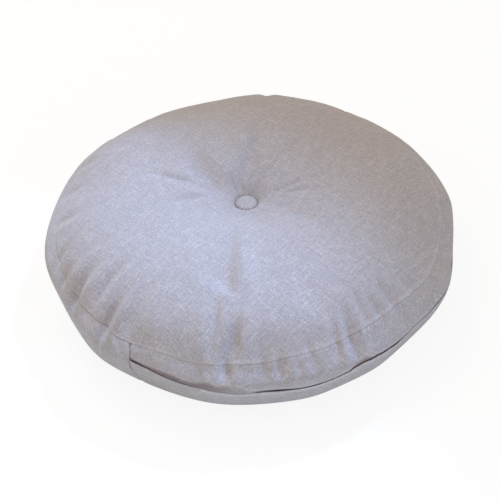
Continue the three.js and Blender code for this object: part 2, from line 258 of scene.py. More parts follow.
def eased(rows, azimuth):
    """The columns of a table by azimuth, eased from row to row. Past its ends it keeps the last values."""
    table = np.array(rows)
    turned = (azimuth - table[0, 0]) % 360 + table[0, 0]
    steps = np.clip(np.searchsorted(table[:, 0], turned) - 1, 0, len(table) - 2)
    share = smooth(table[steps, 0], table[steps + 1, 0], turned)
    return [column[steps] + (column[steps + 1] - column[steps]) * share for column in table.T[1:]]


def slit_course(azimuth):
    """The slit's reach at each azimuth, the width and depth of the roll above it in metres, and its shade."""
    reach, roll, sink, shade = eased(SLIT, azimuth)
    return reach, roll * MM, sink * MM, shade


def wandered(reach, azimuth):
    """The reach after the top seam, and the cloth on both sides of it, has wandered off its circle."""
    shift, _ = eased(SEAM_COURSE, azimuth)
    return reach + shift * np.exp(-(((reach - 1) / WANDER_FADE) ** 2))


def seam_dip(azimuth, sizes):
    """How far the cloth turns in at the top seam."""
    _, depth = eased(SEAM_COURSE, azimuth)
    return depth * MM * sizes.seam_scale


def fold_section(aside, skew, sharp):
    """The cross-section of a fold, with a low swell of the cloth it displaces on either side."""
    wide = aside / (1 + 0.5 * skew * np.sign(aside))
    crease = np.exp(-np.abs(wide) ** (2 - 0.9 * sharp))
    swells = np.exp(-(((np.abs(wide) - 2.0) / 0.9) ** 2))
    return crease - 0.22 * swells


def fold_lift(reach, azimuth, scale):
    """How far the folds lift the cloth, in metres."""
    lift = np.zeros(np.broadcast(reach, azimuth).shape)
    radius = radius_at(reach)
    length = length_at(reach)
    for row in FOLDS:
        start, end, first, last, height, width = row[:6]
        peak, sharp, skew, bow = (*row[6:], *FOLD_REST[len(row) - 6:])
        begin, run = length_at(start), length_at(end) - length_at(start)
        share = np.clip((length - begin) / run, 0, 1)
        line = first + (last - first) * share + bow * np.sin(np.pi * share)
        aside = np.radians(turn_between(azimuth, line)) * radius / (width * MM)
        opening = smooth(0, peak, share) if start > 0 else 1
        fade = opening * smooth(0, 1 - peak, 1 - share)
        lift += np.where(np.abs(aside) < 6, fade * height * MM * fold_section(aside, skew, sharp), 0)
    return lift * scale


def pucker_rows(seed):
    """Small random puckers across a seam: azimuth, reach before and past it, height and width in mm."""
    random = np.random.default_rng(seed)
    rows = []
    for i in range(PUCKERS):
        azimuth = (i + random.uniform(-0.45, 0.45)) * 360 / PUCKERS
        before, past = -random.uniform(0.02, 0.09), random.uniform(0.06, 0.3)
        rows.append((azimuth, before, past, -random.uniform(0.15, 0.8), random.uniform(2.5, 6.0)))
    return rows


def pucker_lift(reach, azimuth, scale, seam, seed):
    """The fine drawing-in of the cloth across a seam."""
    lift = np.zeros(np.broadcast(reach, azimuth).shape)
    radius = radius_at(reach)
    for middle, before, past, height, width in pucker_rows(seed):
        share = np.clip((reach - seam - before) / (past - before), 0, 1)
        aside = np.radians(turn_between(azimuth, middle)) * radius / (width * MM)
        fade = smooth(0, 0.4, share) * smooth(0, 0.5, 1 - share)
        lift += fade * height * MM * np.exp(-(aside**2))
    return lift * scale


def lump_lift(reach, azimuth, scale):
    """The slow unevenness of the filling, which fades out at the seams and the ground."""
    angle = np.radians(azimuth)
    x = radius_at(reach) * np.sin(angle)
    y = -radius_at(reach) * np.cos(angle)
    z = height_at(reach)
    random = np.random.default_rng(5)
    lift = np.zeros(np.broadcast(reach, azimuth).shape)
    for _ in range(LUMP_WAVES):
        wave = random.normal(size=3)
        wave *= 2 * np.pi / (random.uniform(0.07, 0.19) * np.linalg.norm(wave))
        lift += np.sin(x * wave[0] + y * wave[1] + z * wave[2] + random.uniform(0, 2 * np.pi))
    calm = smooth(0.02, 0.2, reach) * smooth(0, 0.12, np.abs(reach - 1)) * smooth(0, 0.5, 2.1 - reach)
    return lift / math.sqrt(LUMP_WAVES) * calm * scale


def cloth_lift(reach, azimuth, sizes):
    """Everything that lifts or sinks the cloth over its plain section, shared by all its pieces."""
    lift = pucker_lift(reach, azimuth, sizes.pucker_scale, seam=1, seed=11)
    lift += pucker_lift(reach, azimuth, sizes.pucker_scale, seam=2, seed=23)
    reach = wandered(reach, azimuth)
    lift += fold_lift(reach, azimuth, sizes.fold_scale)
    lift += lump_lift(reach, azimuth, sizes.lump_height)
    return lift * smooth(0, 0.3, 2.6 - reach)


def place(reach, azimuth, lift):
    """Points in metres on the section at each reach and azimuth, raised along its normal by lift."""
    reach, azimuth, lift = np.broadcast_arrays(reach, azimuth, lift)
    reach = wandered(reach, azimuth)
    before = np.maximum(reach - FACING_STRETCH, 0)
    after = np.minimum(reach + FACING_STRETCH, 3)
    along_r = radius_at(after) - radius_at(before)
    along_z = height_at(after) - height_at(before)
    size = np.hypot(along_r, along_z)
    radius = radius_at(reach) - along_z / size * lift
    height = height_at(reach) + along_r / size * lift
    radius = np.maximum(radius, BUTTON_RADIUS + 0.2 * MM)
    angle = np.radians(azimuth)
    lean = np.exp(-(((radius - BUTTON_RADIUS) / (50 * MM)) ** 2))
    x = AXIS_X + radius * np.sin(angle) + TUFT_LEAN.x * lean
    y = AXIS_Y - radius * np.cos(angle) + TUFT_LEAN.y * lean
    return np.stack([x, y, height], axis=-1)


# ---------------------------------------------------------------- meshes


def azimuths_round(columns):
    return np.arange(columns) * 360 / columns


def deselect_all():
    bpy.ops.object.select_all(action="DESELECT")


def linked(name, data):
    """A new object in the scene that holds the data."""
    made = bpy.data.objects.new(name, data)
    bpy.context.collection.objects.link(made)
    return made


def mesh_piece(name, vertices, faces, cloth_uv, **values):
    """A smooth-shaded mesh object with a UV map in metres of cloth, and values that its material reads."""
    mesh = bpy.data.meshes.new(name)
    mesh.from_pydata(vertices.tolist(), [], faces)
    layer = mesh.uv_layers.new(name="cloth")
    corners = np.empty(len(mesh.loops), dtype=np.int32)
    mesh.loops.foreach_get("vertex_index", corners)
    layer.data.foreach_set("uv", cloth_uv[corners].astype(np.float32).ravel())
    mesh.shade_smooth()
    mesh.validate()
    for key, column in values.items():
        attribute = mesh.attributes.new(key, "FLOAT", "POINT")
        attribute.data.foreach_set("value", column.astype(np.float32))
    return linked(name, mesh)


def capped_rings(rows, columns):
    """Faces over closed rings, facing out, and a fan at each end to the two points after the rings."""
    faces = []
    for row in range(rows - 1):
        for column in range(columns):
            a, b = row * columns + column, row * columns + (column + 1) % columns
            faces.append((a, a + columns, b + columns, b))
    count = rows * columns
    last = count - columns
    for column in range(columns):
        after = (column + 1) % columns
        faces += [(count, column, after), (count + 1, last + after, last + column)]
    return faces


def finish_piece(piece, node, material):
    """Give a piece its cloth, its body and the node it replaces."""
    piece.data.materials.append(material)
    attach(piece, BODY)
    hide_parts(node)


# ---------------------------------------------------------------- the filling


# The coarse cushion on which the filling is simulated: the reach of its rings and its steps round.
FILL_REACHES = np.concatenate([np.linspace(0, 0.93, 40), [0.95, 0.97, 0.985, 1.0]])
FILL_COLUMNS = 192
FILL_FREE = (0.02, 0.98)
FILL_FRAMES = 12
FILL_CLOTH = {
    "quality": 4, "mass": 0.6, "tension_stiffness": 300, "compression_stiffness": 300,
    "shear_stiffness": 100, "bending_stiffness": 4, "air_damping": 2, "use_pressure": True,
}


def simulated(context, vertices, faces, held, pressure):
    """Where the vertices of a closed cloth come to rest under pressure, while those in held stay put."""
    mesh = bpy.data.meshes.new("filling")
    mesh.from_pydata(vertices.tolist(), [], faces)
    proxy = linked("filling", mesh)
    deselect_all()
    proxy.select_set(True)
    context.view_layer.objects.active = proxy
    proxy.vertex_groups.new(name="held").add(held, 1.0, "REPLACE")
    cloth = proxy.modifiers.new("filling", "CLOTH")
    for name, value in FILL_CLOTH.items():
        setattr(cloth.settings, name, value)
    cloth.settings.vertex_group_mass = "held"
    cloth.settings.uniform_pressure_force = pressure
    cloth.settings.effector_weights.gravity = 0
    cloth.collision_settings.use_collision = False
    cloth.point_cache.frame_start = 1
    cloth.point_cache.frame_end = FILL_FRAMES
    for moment in range(1, FILL_FRAMES + 1):
        context.scene.frame_set(moment)
    bpy.ops.object.modifier_apply(modifier=cloth.name)
    context.scene.frame_set(1)
    moved = np.empty(len(vertices) * 3)
    proxy.data.vertices.foreach_get("co", moved)
    bpy.data.objects.remove(proxy)
    bpy.data.meshes.remove(mesh)
    return moved.reshape(-1, 3)


def fill_cloth(context, sizes):
    """How far the filling presses the top out unevenly, from a short simulation of a coarse cushion.

    The table has a row for each of FILL_REACHES and a column for each of FILL_COLUMNS.
    """
    rows = len(FILL_REACHES)
    azimuth = azimuths_round(FILL_COLUMNS)
    reach = FILL_REACHES[:, None]
    folds = cloth_lift(reach, azimuth[None, :], sizes)
    rest = place(reach, azimuth, folds)
    outwards = (place(reach, azimuth, folds + MM) - rest) / MM
    under = place(2.0, azimuth, 0.0)
    middles = [(AXIS_X, AXIS_Y, TUFT_HEIGHT), (AXIS_X, AXIS_Y, BOTTOM_SEAM_HEIGHT)]
    vertices = np.concatenate([rest.reshape(-1, 3), under, middles])
    low, high = FILL_FREE
    free = np.repeat((FILL_REACHES > low) & (FILL_REACHES < high), FILL_COLUMNS)
    held = np.flatnonzero(~free).tolist() + list(range(free.size, len(vertices)))
    faces = capped_rings(rows + 1, FILL_COLUMNS)
    moved = simulated(context, vertices, faces, held, sizes.fill_pressure)[:free.size].reshape(rest.shape)

    # Only the unevenness of each ring is kept, a little smoothed.
    lift = ((moved - rest) * outwards).sum(axis=-1)
    lift -= lift.mean(axis=1, keepdims=True)
    for axis in (0, 1):
        lift = (np.roll(lift, 1, axis) + 2 * lift + np.roll(lift, -1, axis)) / 4
    lift[[0, -1]] = 0
    return np.clip(lift * sizes.fill_share, -sizes.fill_limit, sizes.fill_limit)


def filled(table, reach, azimuth):
    """The table of the filling's lift, read at one reach and every azimuth."""
    ring = [np.interp(reach, FILL_REACHES, column) for column in table.T]
    return np.interp(azimuth, azimuths_round(FILL_COLUMNS), ring, period=360)


# ---------------------------------------------------------------- the cushion


# Rings from the tuft to the top seam: the reach where the tuft's close rings end and where the edge's
# begin, and the edge's distances from the seam in mm. Then the distances in mm of the rings down the
# hidden side and of those past the bottom seam, and the shares of the ground radius in the underside.
TUFT_ROWS_END = 0.16
EDGE_ROWS_START = 0.93
TOP_EDGE_STEPS = (17.5, 14, 11, 8.6, 6.6, 5, 3.8, 2.8, 2.0, 1.3, 0.7, 0.3, 0)
SIDE_STEPS = (0.4, 1.5, 3, 5, 8, 12, *range(17, 83, 5), 86, 89, 91.5, 93.5, 94.6)
UNDER_STEPS = (0, 0.4, 1.0, 1.8, 3, 5, 8, 12, 17, 23, 30, 38, 44)
GROUND_SHARES = (0.97, 0.9, 0.8, 0.66, 0.5, 0.34, 0.18, 0.06)
BUTTON_BED_SHARES = (0.25, 0.5, 0.75, 0.92)
# One unit of reach past the bottom seam, in mm of cloth.
UNDER_EDGE = 49
# A paler line on the top beside the seam: its strength, its distance from the seam and its width.
SEAM_PALING, SEAM_PALING_AT, SEAM_PALING_WIDTH = 0.5, 4 * MM, 3e-3


def crown_rows():
    """Reach of the rings from the tuft to the top seam, closer together at both ends."""
    tuft = TUFT_ROWS_END * np.linspace(0, 1, 30)[:-1] ** 1.5
    crown = np.linspace(TUFT_ROWS_END, EDGE_ROWS_START, 78)[:-1]
    edge = 1 - np.array(TOP_EDGE_STEPS) * MM / TOP_LENGTH
    return np.concatenate([tuft, crown, edge])


class BuildCushion(bpy.types.Operator):
    """Make the filled cushion: the top with its crown, tuft and folds, the hidden side and the underside"""

    bl_idname = "pouf.cushion"
    bl_label = "Cushion Cloth"

    def execute(self, context):
        sizes = context.scene.pouf_sizes
        azimuth = azimuths_round(sizes.columns)
        groove = seam_dip(azimuth, sizes)
        filling = fill_cloth(context, sizes)
        angle = np.radians(azimuth)
        spin = np.stack([np.sin(angle), -np.cos(angle)], axis=-1)
        rings = []

        def keep(ring, length, wear=0.0):
            rings.append((ring, spin * length, np.full(len(azimuth), wear)))

        def keep_flat(radius, middle):
            """Under the button and on the ground the cloth is flat."""
            level = np.full(len(azimuth), middle[2])
            keep(np.column_stack([spin * radius + middle[:2], level]), radius)

        middles = (AXIS_X + TUFT_LEAN.x, AXIS_Y + TUFT_LEAN.y, TUFT_HEIGHT), (AXIS_X, AXIS_Y, 0.0)
        for share in BUTTON_BED_SHARES:
            keep_flat(TUFT_RADIUS * share, middles[0])
        for reach in crown_rows():
            distance = (1 - reach) * TOP_LENGTH
            dip = groove * np.exp(-distance / sizes.seam_round)
            rise = tuft_rise(reach, azimuth, sizes)
            lift = cloth_lift(reach, azimuth, sizes) - dip + rise + filled(filling, reach, azimuth)
            wear = SEAM_PALING * math.exp(-((distance - SEAM_PALING_AT) / SEAM_PALING_WIDTH) ** 2)
            keep(place(reach, azimuth, lift), length_at(reach), wear)
        for reach in 1 + np.array(SIDE_STEPS) * MM / SIDE_LENGTH:
            lift = cloth_lift(reach, azimuth, sizes) - recess_depth(reach, azimuth, sizes)
            keep(place(reach, azimuth, lift), length_at(reach))
        for reach in 2 + np.array(UNDER_STEPS) / UNDER_EDGE:
            distance = (reach - 2) * UNDER_EDGE * MM
            dip = groove * np.exp(-distance / sizes.seam_round)
            lift = cloth_lift(reach, azimuth, sizes) - dip
            keep(place(reach, azimuth, lift), UNDER_LENGTH - distance)
        for share in GROUND_SHARES:
            keep_flat(share * GROUND_RADIUS, middles[1])

        points, uvs, wears = zip(*rings)
        vertices = np.concatenate([*points, middles])
        vertices[:, 2] = np.maximum(vertices[:, 2], 0)
        uv = np.concatenate([*uvs, np.zeros((2, 2))])
        wear = np.concatenate([*wears, np.zeros(2)])
        faces = capped_rings(len(points), len(azimuth))
        piece = mesh_piece("cushion_cloth", vertices, faces, uv, wear=wear)
        looks = context.scene.pouf_looks
        finish_piece(piece, "cushion", linen_material("linen_top", TOP_BIAS, looks))
        return {"FINISHED"}


def tuft_rise(reach, azimuth, sizes):
    """The cloth swells up against the rim of the button, most of all in front of it."""
    front = np.exp(-((turn_between(azimuth, -4.0) / 105) ** 2))
    return sizes.tuft_swell * (0.14 + 0.86 * front) * math.exp(-((reach / 0.042) ** 2))


def sunk(below, roll, sink):
    """How deep the upper strip lies at each distance below the slit, from where it begins to roll in."""
    return sink * smooth(-roll, 0, below) + 1.2 * MM * smooth(0, 3 * MM, below)


def recess_depth(reach, azimuth, sizes):
    """How far the cushion's hidden side lies behind the outside of the cloth."""
    from_seam = np.minimum(reach - 1, 2 - reach) * SIDE_LENGTH
    turned_in = (seam_dip(azimuth, sizes) + 0.6 * MM) * np.exp(-from_seam / (sizes.seam_round * 1.6))
    slit, roll, sink, _ = slit_course(azimuth)
    below = (reach - slit) * SIDE_LENGTH
    behind = sunk(below + 3 * MM, roll, sink) * smooth(-22 * MM, -9 * MM, -below)
    return sizes.strip_thickness + sizes.clearance + turned_in + behind * placket_share(azimuth)


def placket_share(azimuth):
    """1 along the slit and 0 along the plain strip."""
    into = turn_between(azimuth, PLACKET_START)
    out = turn_between(PLACKET_END, azimuth)
    middle = (PLACKET_START + PLACKET_END) / 2
    half = np.abs(turn_between(azimuth, middle)) < 90
    return np.where(half, smooth(-0.5, 1.5, np.minimum(into, out)), 0)


# ---------------------------------------------------------------- the side strips


# Distances of a strip's close rows from its edge, and where the even rows between the edges begin.
EDGE_STEPS = np.array([0, 0.35, 0.8, 1.4, 2.2, 3.2, 4.6, 6.5]) * MM
LIP_STEPS = EDGE_STEPS[:4]
BODY_START = 8 * MM
PLAIN_BODY_START = 9 * MM
# Degrees of a strip's close columns from its end, and where the even columns begin.
END_STEPS = np.array([0.0, 0.06, 0.15, 0.3, 0.5, 0.8])
EVEN_START = 1.2
# What is left between two strips at an upright seam, and between a strip and the seam that it meets.
END_GAP = 0.5 * MM
SEAM_GAP = 0.08 * MM


def rows_down(height, count, start, low_steps, end):
    """Distances down a strip of this height at each azimuth: close rows at its edges, even ones between.

    The count even rows run from start below its top to end above its foot, all in metres.
    """
    top = np.broadcast_to(EDGE_STEPS[:, None], (len(EDGE_STEPS), len(height)))
    body = start + (height - start - end) * np.linspace(0, 1, count)[:, None]
    return np.concatenate([top, body, height - low_steps[::-1][:, None]])


def strip_columns(first, last, sizes):
    """Azimuths along a strip, drawn closer at both ends, with a hair's breadth left for the next strip."""
    ends = END_STEPS + math.degrees(END_GAP / BULGE_RADIUS)
    count = int(sizes.columns * (last - first) / 360)
    inner = np.linspace(first + EVEN_START, last - EVEN_START, count)
    return np.concatenate([first + ends, inner, (last - ends)[::-1]])


def end_dip(azimuths, first, last, sizes):
    """The ends of a strip turn in at the upright seams."""
    from_end = np.radians(np.minimum(azimuths - first, last - azimuths)) * BULGE_RADIUS
    return 2.2 * MM * sizes.seam_scale * np.exp(-from_end / (1.5 * sizes.seam_round))


def seam_bend(reach_rows, azimuths):
    """The upright seam at the front left leans as it goes down, and takes the cloth near it along."""
    reach, degrees = zip(*UPRIGHT_COURSE)
    near = np.exp(-((turn_between(azimuths, PLACKET_START) / 6) ** 2))
    return np.interp(reach_rows, reach, degrees) * near


def highlight_share(azimuths):
    """How strong the painted highlights on the slit's edges are: most at the front."""
    return 0.3 + 0.7 * smooth(-17, -13, azimuths) * smooth(-46, -36, -azimuths)


def thin_edges(from_edge, thickness):
    """The thickness of cloth near an edge, drawn down to a rounded lip."""
    t = np.clip(from_edge / (thickness * 0.5), 0, 1)
    return thickness * (0.12 + 0.88 * np.sqrt(1 - (1 - t) ** 2))


def strip_faces(rows, columns):
    """Faces round a loop of rows, which go down the outside of a strip and up its inside, and its ends."""
    faces = []
    for row in range(rows):
        below = (row + 1) % rows
        for column in range(columns - 1):
            a, b = row * columns + column, below * columns + column
            faces.append((a, b, b + 1, a + 1))
    for row in range(rows // 2 - 1):
        a, b = row * columns, (row + 1) * columns
        c, d = (rows - 2 - row) * columns, (rows - 1 - row) * columns
        faces.append((a, d, c, b))
        faces.append(tuple(corner + columns - 1 for corner in (a, b, c, d)))
    return faces


def doubled(rows):
    """Rows for the outside of a strip, and then the same rows back up its inside."""
    return np.concatenate([rows, rows[::-1]])


def build_strip(context, name, node, azimuths, down, lift, from_seam, from_edge, width, extra=0, **values):
    """A closed strip of cloth. Its width when flat, in metres, is not used.

    The arrays have a row for each step down the strip and a column for each azimuth: how far down the side
    it is, how far its outside stands out, and how far it is from the sewn seam and from the nearer edge.
    Extra is more cloth on its inside, and values are what its material reads.
    """
    sizes = context.scene.pouf_sizes
    reach = 1 + down / SIDE_LENGTH
    turned = azimuths + seam_bend(reach, azimuths)
    base = cloth_lift(reach, turned, sizes)
    dip = seam_dip(azimuths, sizes) * np.exp(-from_seam / sizes.seam_round)
    outer = lift - dip
    inner = outer - thin_edges(from_edge, sizes.strip_thickness) - extra
    loop = np.concatenate([place(reach, turned, base + outer), place(reach, turned, base + inner)[::-1]])
    along = np.broadcast_to(np.radians(azimuths) * BULGE_RADIUS, reach.shape)
    uv = doubled(np.stack([along, length_at(reach)], axis=-1))
    values = {key: doubled(rows).ravel() for key, rows in values.items()}
    faces = strip_faces(*loop.shape[:2])
    piece = mesh_piece(name, loop.reshape(-1, 3), faces, uv.reshape(-1, 2), **values)
    looks = context.scene.pouf_looks
    finish_piece(piece, node, linen_material("linen_strip", STRIP_BIAS, looks))


class BuildPlainStrip(bpy.types.Operator):
    """Make the plain strip round the back and left of the side"""

    bl_idname = "pouf.plain_strip"
    bl_label = "Plain Strip"

    def execute(self, context):
        sizes = context.scene.pouf_sizes
        span = PLACKET_END, PLACKET_START + 360
        azimuths = strip_columns(*span, sizes)
        height = np.full(len(azimuths), SIDE_LENGTH)
        down = rows_down(height, 34, PLAIN_BODY_START, EDGE_STEPS, PLAIN_BODY_START)
        down += SEAM_GAP * np.sign(SIDE_LENGTH / 2 - down)
        from_edge = np.minimum(down, SIDE_LENGTH - down)
        build_strip(context, "strip_plain", "band_plain", azimuths, down, -end_dip(azimuths, *span, sizes),
                    from_edge, from_edge, SIDE_LENGTH, wear=np.zeros(down.shape))
        return {"FINISHED"}


class BuildPlacket(bpy.types.Operator):
    """Make the two strips of the placket: the upper one tucks in behind the fold of the lower one"""

    bl_idname = "pouf.placket"
    bl_label = "Placket Strips"

    def execute(self, context):
        sizes = context.scene.pouf_sizes
        span = PLACKET_START, PLACKET_END
        azimuths = strip_columns(*span, sizes)
        ends = end_dip(azimuths, *span, sizes)
        slit, *roll_in = slit_course(azimuths)
        from_slit = (slit - 1) * SIDE_LENGTH
        self.upper(context, azimuths, ends, from_slit, *roll_in)
        self.lower(context, azimuths, ends, from_slit)
        return {"FINISHED"}

    def upper(self, context, azimuths, ends, from_slit, roll, sink, shade):
        tucked = from_slit + context.scene.pouf_sizes.tuck_length
        down = rows_down(tucked, 44, BODY_START, LIP_STEPS, 1.6 * MM)
        down[:len(EDGE_STEPS)] += SEAM_GAP
        below = down - from_slit
        # A painted highlight along the rim just above the roll into the slit.
        painted_highlight = 0.5 * np.exp(-(((below + 1.2 * roll + 1 * MM) / (1.8 * MM)) ** 2)) * highlight_share(azimuths)
        # Painted shade over the roll into the slit.
        shaded = shade * smooth(-1.3 * roll, -0.75 * roll, below)
        build_strip(context, "strip_upper", "placket_upper", azimuths, down,
                    -sunk(below, roll, sink) - ends, down, np.minimum(down, tucked - down),
                    float(np.mean(tucked)), wear=painted_highlight, shade=shaded)

    def lower(self, context, azimuths, ends, from_slit):
        sizes = context.scene.pouf_sizes
        height = SIDE_LENGTH - from_slit
        down = rows_down(height, 34, BODY_START, EDGE_STEPS, BODY_START)
        down[-len(EDGE_STEPS):] -= 0.2 * MM
        from_seam = height - down
        from_edge = np.minimum(down, from_seam)
        stand = sizes.fold_stand * smooth(-14 * MM, -1 * MM, -down)
        lip = 0.8 * MM * np.exp(-down / (0.8 * MM))
        fold = sizes.fold_thickness * smooth(-13 * MM, -10 * MM, -down) * smooth(0, 1.2 * MM, from_edge)
        # A painted highlight along the lower strip's folded edge.
        painted_highlight = np.exp(-((down / (3.8 * MM)) ** 2)) * highlight_share(azimuths)
        build_strip(context, "strip_lower", "placket_lower", azimuths, from_slit + down,
                    stand - lip - ends, from_seam, from_edge, float(np.mean(height)), fold, wear=painted_highlight)


# ---------------------------------------------------------------- the button


# Radius and height of the button's rings, from its back over its edge to the flat dome.
BUTTON_RINGS = (
    (0.62, 0.0), (0.88, 0.06), (0.975, 0.2), (1.0, 0.38), (0.995, 0.54), (0.965, 0.69),
    (0.90, 0.81), (0.78, 0.9), (0.6, 0.955), (0.4, 0.985), (0.2, 0.997),
)


class BuildButton(bpy.types.Operator):
    """Make the covered button: a flat dome whose cloth is gathered in under its edge"""

    bl_idname = "pouf.button"
    bl_label = "Covered Button"

    def execute(self, context):
        deselect_all()
        base = BUTTON_LOW.z
        rise = BUTTON_HIGH.z - base
        share, level = BUTTON_RINGS[0]
        bpy.ops.mesh.primitive_circle_add(
            vertices=72, radius=BUTTON_RADIUS * share, fill_type="NGON",
            location=(AXIS_X + TUFT_LEAN.x, AXIS_Y + TUFT_LEAN.y, base + rise * level))
        piece = context.object
        piece.name = piece.data.name = "covered_button"
        bpy.ops.object.mode_set(mode="EDIT")
        for (share, level), (next_share, next_level) in zip(BUTTON_RINGS, BUTTON_RINGS[1:]):
            lift = (next_level - level) * rise
            bpy.ops.mesh.extrude_region_move(TRANSFORM_OT_translate={"value": (0, 0, lift)})
            size = next_share / share
            bpy.ops.transform.resize(value=(size, size, 1))
        bpy.ops.mesh.poke(offset=rise * 0.003)
        bpy.ops.mesh.select_all(action="SELECT")
        bpy.ops.mesh.normals_make_consistent(inside=False)
        bpy.ops.object.mode_set(mode="OBJECT")
        bpy.ops.object.transform_apply(location=True, rotation=True, scale=True)
        smoother = piece.modifiers.new("round", "SUBSURF")
        smoother.levels = smoother.render_levels = 1
        bpy.ops.object.modifier_apply(modifier=smoother.name)
        gather_cloth(piece)
        planar_uv(piece)
        bpy.ops.object.shade_smooth()
        looks = context.scene.pouf_looks
        finish_piece(piece, "button", linen_material("linen_button", BUTTON_BIAS, looks))
        return {"FINISHED"}


def gather_cloth(piece):
    """Small pleats where the cloth is drawn in round the edge of the button."""
    middle = Vector((AXIS_X, AXIS_Y)) + TUFT_LEAN
    edge_height = BUTTON_LOW.z + 0.3 * (BUTTON_HIGH.z - BUTTON_LOW.z)
    for vertex in piece.data.vertices:
        flat = vertex.co.xy - middle
        radius = flat.length
        if radius < BUTTON_RADIUS * 0.5:
            continue
        angle = math.atan2(flat.x, -flat.y)
        pleat = math.sin(26 * angle) + 0.6 * math.sin(17 * angle + 1.3)
        near = math.exp(-(((vertex.co.z - edge_height) / (2.2 * MM)) ** 2))
        vertex.co.xy += flat / radius * (0.14 * MM * pleat * near - 0.15 * MM * near)


def planar_uv(piece):
    """A UV map called cloth, in metres, that looks straight down on the piece."""
    layer = piece.data.uv_layers.get("cloth") or piece.data.uv_layers.new(name="cloth")
    layer.active = True
    for loop in piece.data.loops:
        point = piece.data.vertices[loop.vertex_index].co
        layer.data[loop.index].uv = (point.x, point.y)


# ---------------------------------------------------------------- linen


# Degrees between the threads and each piece's own cloth map.
TOP_BIAS, STRIP_BIAS, BUTTON_BIAS = 45.0, 45.0, 20.0
LINEN_SHEEN = {
    "Roughness": 0.92, "Specular IOR Level": 0.25, "Sheen Weight": 0.25, "Sheen Roughness": 0.45,
    "Sheen Tint": (1.0, 0.98, 0.97, 1.0),
}


class Value:
    """An output of a node in a graph, which can be reckoned with like a number."""

    def __init__(self, graph, socket):
        self.graph, self.socket = graph, socket

    def __add__(self, other):
        return self.graph.math("ADD", self, other)

    def __sub__(self, other):
        return self.graph.math("SUBTRACT", self, other)

    def __mul__(self, other):
        return self.graph.math("MULTIPLY", self, other)

    def __truediv__(self, other):
        return self.graph.math("DIVIDE", self, other)


class Graph:
    """Short ways to fill the node tree of a material, a world or a group."""

    def __init__(self, tree):
        self.tree = tree

    def node(self, kind, inputs=None, **settings):
        """A new node with its settings, and a value or a link for each input by name or number."""
        node = self.tree.nodes.new(kind)
        for name, value in settings.items():
            setattr(node, name, value)
        for key, value in (inputs or {}).items():
            if isinstance(value, Value):
                self.tree.links.new(value.socket, node.inputs[key])
            else:
                node.inputs[key].default_value = value
        return node

    def outputs(self, node, *names):
        return [Value(self, node.outputs[name]) for name in names]

    def add(self, kind, inputs=None, output=0, **settings):
        """One output of a new node."""
        return Value(self, self.node(kind, inputs, **settings).outputs[output])

    def math(self, operation, *values):
        return self.add("ShaderNodeMath", dict(enumerate(values)), operation=operation)

    def noise(self, vector, scale=1.0, detail=2.0, roughness=0.5):
        inputs = {"Vector": vector, "Scale": scale, "Detail": detail, "Roughness": roughness}
        return self.add("ShaderNodeTexNoise", inputs, "Fac", noise_dimensions="3D")

    def ramp(self, value, low, high):
        inputs = {0: value, 1: low, 2: high}
        return self.add("ShaderNodeMapRange", inputs, interpolation_type="SMOOTHSTEP")

    def mix(self, share, a, b):
        return self.add("ShaderNodeMix", {0: share, 2: a, 3: b}, data_type="FLOAT")

    def mix_color(self, share, a, b, blend="MIX"):
        return self.add("ShaderNodeMix", {0: share, 6: a, 7: b}, 2, data_type="RGBA", blend_type=blend)

    def kept(self, name):
        """A value kept for each of the piece's vertices."""
        return self.add("ShaderNodeAttribute", None, "Fac", attribute_name=name)


def cleared(owner):
    """A graph on the emptied node tree of a material or a world."""
    owner.use_nodes = True
    owner.node_tree.nodes.clear()
    return Graph(owner.node_tree)


# The sockets of the weave's node group.
WEAVE_INPUTS = {"Cloth": "NodeSocketVector", "Pitch": "NodeSocketFloat", "Run": "NodeSocketFloat"}
WEAVE_OUTPUTS = ("Tone", "Slub", "Height")


def weave_group():
    """Plain-woven linen: threads of uneven tone with slubs, as a tone, a slub mask and a height."""
    tree = bpy.data.node_groups.get("plain_weave")
    if tree:
        return tree
    tree = bpy.data.node_groups.new("plain_weave", "ShaderNodeTree")
    for name, kind in WEAVE_INPUTS.items():
        tree.interface.new_socket(name=name, in_out="INPUT", socket_type=kind)
    for name in WEAVE_OUTPUTS:
        tree.interface.new_socket(name=name, in_out="OUTPUT", socket_type="NodeSocketFloat")
    graph = Graph(tree)
    cloth, pitch, run = graph.outputs(graph.node("NodeGroupInput"), *WEAVE_INPUTS)

    # The threads waver a little, so no line is ruler straight.
    shift = (graph.noise(cloth, scale=38.0, detail=1.0) - 0.5) * (pitch * 1.6)
    x, y = graph.outputs(graph.node("ShaderNodeSeparateXYZ", {0: cloth}), "X", "Y")
    across, along = x + shift, y + shift

    def threads(across, along, seed):
        """The tone of one set of threads, which drifts along each thread, its slubs and its pillows' sine."""
        index = across / pitch
        row = graph.math("FLOOR", index) * 1.618
        course = graph.add("ShaderNodeCombineXYZ", {0: row, 1: along / run, 2: seed})
        tone = graph.noise(course, roughness=0.6)
        return tone, graph.ramp(tone, 0.54, 0.72), graph.math("SINE", index * math.pi)

    warp, warp_slub, sine_x = threads(across, along, 3.7)
    weft, weft_slub, sine_y = threads(along, across, 9.1)
    over = graph.ramp(sine_x * sine_y, -0.25, 0.25)
    size_x, size_y = graph.math("ABSOLUTE", sine_x), graph.math("ABSOLUTE", sine_y)
    pillow = graph.mix(over, size_y * graph.math("SQRT", size_x), size_x * graph.math("SQRT", size_y))
    slub = graph.math("MAXIMUM", warp_slub, weft_slub)
    tone = graph.mix(0.5, graph.mix(over, weft, warp), graph.mix(0.5, weft, warp))
    height = pillow * 0.7 + slub * 0.5
    graph.node("NodeGroupOutput", {"Tone": tone, "Slub": slub, "Height": height})
    return tree


